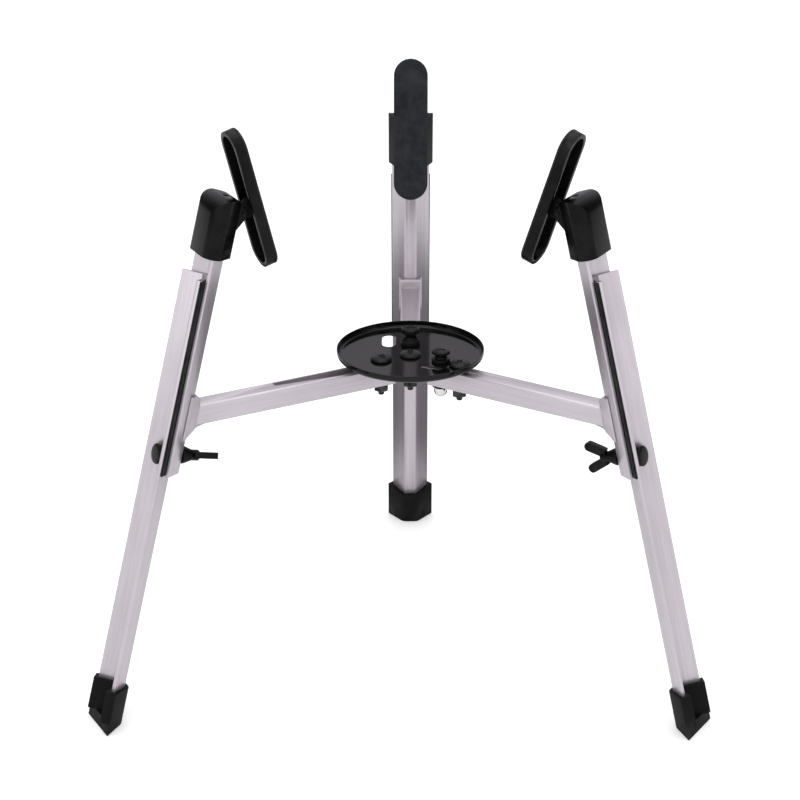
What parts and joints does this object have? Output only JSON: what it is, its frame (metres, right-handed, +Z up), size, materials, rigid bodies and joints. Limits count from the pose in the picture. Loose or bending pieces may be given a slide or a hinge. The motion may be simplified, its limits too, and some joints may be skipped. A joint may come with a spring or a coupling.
{
  "type": "folding instrument stand",
  "caption": "Folding floor stand with leaning telescopic legs, arms under a shallow round tray and tilting padded rests on top.",
  "frame": {"origin": "centre of the footprint on the floor", "axes": "+X to the right, +Y to the rear leg, +Z up"},
  "size_m": [0.6326, 0.5182, 0.6036],
  "materials": {
    "aluminium": "satin anodised, faintly warm",
    "black_plastic": "satin moulded",
    "tray_black": "glossy",
    "black_rubber": "matt moulded rubber",
    "grey_rubber": "matt, faintly mottled",
    "black_steel": "black coated",
    "bright_steel": "polished"
  },
  "bodies": {
    "stand": {"tray": "tray_black", "rear_arm": "aluminium", "rear_arm_saddle": "aluminium", "rear_post": "aluminium", "rear_glide_liner": "black_plastic", "rear_post_cap": "black_plastic", "rear_pad_pin": "black_steel", "rear_clamp_bolt": "black_steel", "rear_clamp_saddle": "black_plastic", "rear_spacer": "black_plastic", "left_pivot_bolt": "black_steel", "left_pivot_nut": "black_steel", "centre_bolt": "black_steel", "centre_nut": "black_steel", "right_pivot_bolt": "black_steel", "right_pivot_nut": "black_steel", "left_spacer": "black_plastic", "right_spacer": "black_plastic", "right_lock_washer": "black_steel", "right_acorn_nut": "bright_steel"},
    "left_frame": {"left_arm": "aluminium", "left_arm_saddle": "aluminium", "left_post": "aluminium", "left_glide_liner": "black_plastic", "left_post_cap": "black_plastic", "left_pad_pin": "black_steel", "left_clamp_bolt": "black_steel", "left_clamp_saddle": "black_plastic"},
    "right_frame": {"right_arm": "aluminium", "right_arm_saddle": "aluminium", "right_post": "aluminium", "right_glide_liner": "black_plastic", "right_post_cap": "black_plastic", "right_pad_pin": "black_steel", "right_clamp_bolt": "black_steel", "right_clamp_saddle": "black_plastic"},
    "rear_leg": {"rear_lower_leg": "aluminium", "rear_boot": "black_rubber"},
    "rear_nut": {"rear_wing_nut": "black_plastic"},
    "rear_pad": {"rear_pad_shell": "black_plastic", "rear_pad_rubber": "grey_rubber"},
    "left_leg": {"left_lower_leg": "aluminium", "left_boot": "black_rubber"},
    "left_nut": {"left_wing_nut": "black_plastic"},
    "left_pad": {"left_pad_shell": "black_plastic", "left_pad_rubber": "grey_rubber"},
    "right_leg": {"right_lower_leg": "aluminium", "right_boot": "black_rubber"},
    "right_nut": {"right_wing_nut": "black_plastic"},
    "right_pad": {"right_pad_shell": "black_plastic", "right_pad_rubber": "grey_rubber"},
    "rear_knob_turn": {"rear_knob": "black_plastic"},
    "right_lock_turn": {"right_lock_knob": "black_plastic"}
  },
  "joints": [
    {"name": "rear_leg_slide", "type": "slide", "parent": "stand", "child": "rear_leg", "axis": [0, 0.2484, -0.9687], "range_m": [-0.012, 0.15]},
    {"name": "rear_wing_nut_turn", "type": "hinge", "parent": "stand", "child": "rear_nut", "pos_m": [0.01098, 0.14038, 0.27526], "axis": [0, -0.9687, -0.2484], "continuous": true},
    {"name": "rear_pad_tilt", "type": "hinge", "parent": "stand", "child": "rear_pad", "pos_m": [0.01098, 0.08286, 0.51974], "axis": [-1, 0, 0], "range_deg": [-11, 15]},
    {"name": "left_arm_fold", "type": "hinge", "parent": "stand", "child": "left_frame", "pos_m": [-0.01854, -0.07758, 0.33], "axis": [0, 0, -1], "range_deg": [0, 110]},
    {"name": "left_leg_slide", "type": "slide", "parent": "left_frame", "child": "left_leg", "axis": [-0.2189, -0.1174, -0.9687], "range_m": [-0.012, 0.15]},
    {"name": "left_wing_nut_turn", "type": "hinge", "parent": "left_frame", "child": "left_nut", "pos_m": [-0.20285, -0.1764, 0.27526], "axis": [0.8537, 0.4577, -0.2484], "continuous": true},
    {"name": "left_pad_tilt", "type": "hinge", "parent": "left_frame", "child": "left_pad", "pos_m": [-0.15216, -0.14922, 0.51974], "axis": [0.4726, -0.8813, 0], "range_deg": [-11, 15]},
    {"name": "right_arm_fold", "type": "hinge", "parent": "stand", "child": "right_frame", "pos_m": [0.0607, -0.09162, 0.33], "axis": [0, 0, 1], "range_deg": [0, 115]},
    {"name": "right_leg_slide", "type": "slide", "parent": "right_frame", "child": "right_leg", "axis": [0.2129, -0.1279, -0.9687], "range_m": [-0.012, 0.15]},
    {"name": "right_wing_nut_turn", "type": "hinge", "parent": "right_frame", "child": "right_nut", "pos_m": [0.20455, -0.17806, 0.27526], "axis": [-0.8303, 0.4989, -0.2484], "continuous": true},
    {"name": "right_pad_tilt", "type": "hinge", "parent": "right_frame", "child": "right_pad", "pos_m": [0.15525, -0.14844, 0.51974], "axis": [0.515, 0.8572, 0], "range_deg": [-15, 11]},
    {"name": "rear_knob_spin", "type": "hinge", "parent": "stand", "child": "rear_knob_turn", "pos_m": [0.01098, -0.03375, 0.34], "axis": [0, 0, 1], "continuous": true},
    {"name": "right_lock_spin", "type": "hinge", "parent": "stand", "child": "right_lock_turn", "pos_m": [0.04184, -0.08029, 0.34], "axis": [0, 0, 1], "continuous": true}
  ]
}
